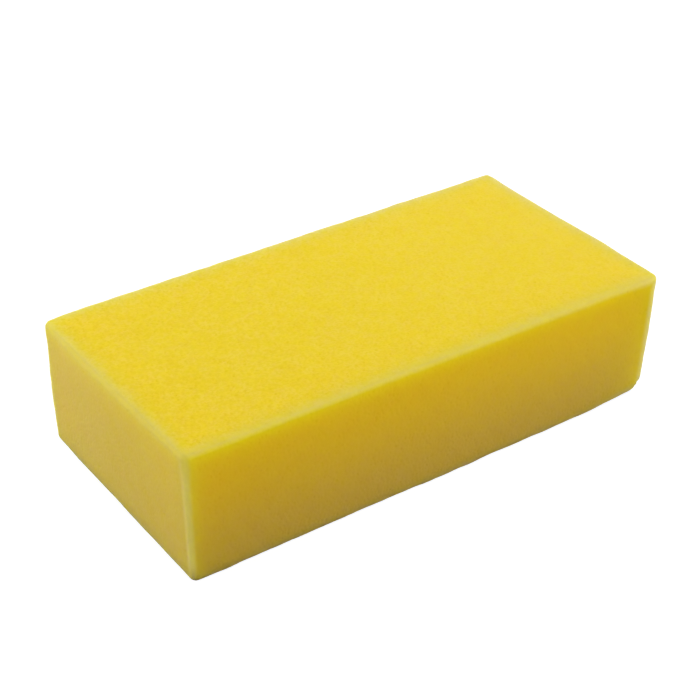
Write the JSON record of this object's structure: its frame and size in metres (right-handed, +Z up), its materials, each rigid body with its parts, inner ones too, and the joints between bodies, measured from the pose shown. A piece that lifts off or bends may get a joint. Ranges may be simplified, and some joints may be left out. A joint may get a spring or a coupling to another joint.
{
  "type": "foam sponge",
  "caption": "Rectangular block of soft open-cell foam with softened cut edges, for washing down, damping and texturing painted surfaces.",
  "frame": {"origin": "middle of the underside, the large flat face that the sponge rests on", "axes": "+X along the length, +Y along the width, +Z up through the thickness"},
  "size_m": [0.2, 0.098, 0.051],
  "materials": {
    "foam": "matte"
  },
  "bodies": {
    "root": {"foam_block": "foam"}
  },
  "joints": []
}
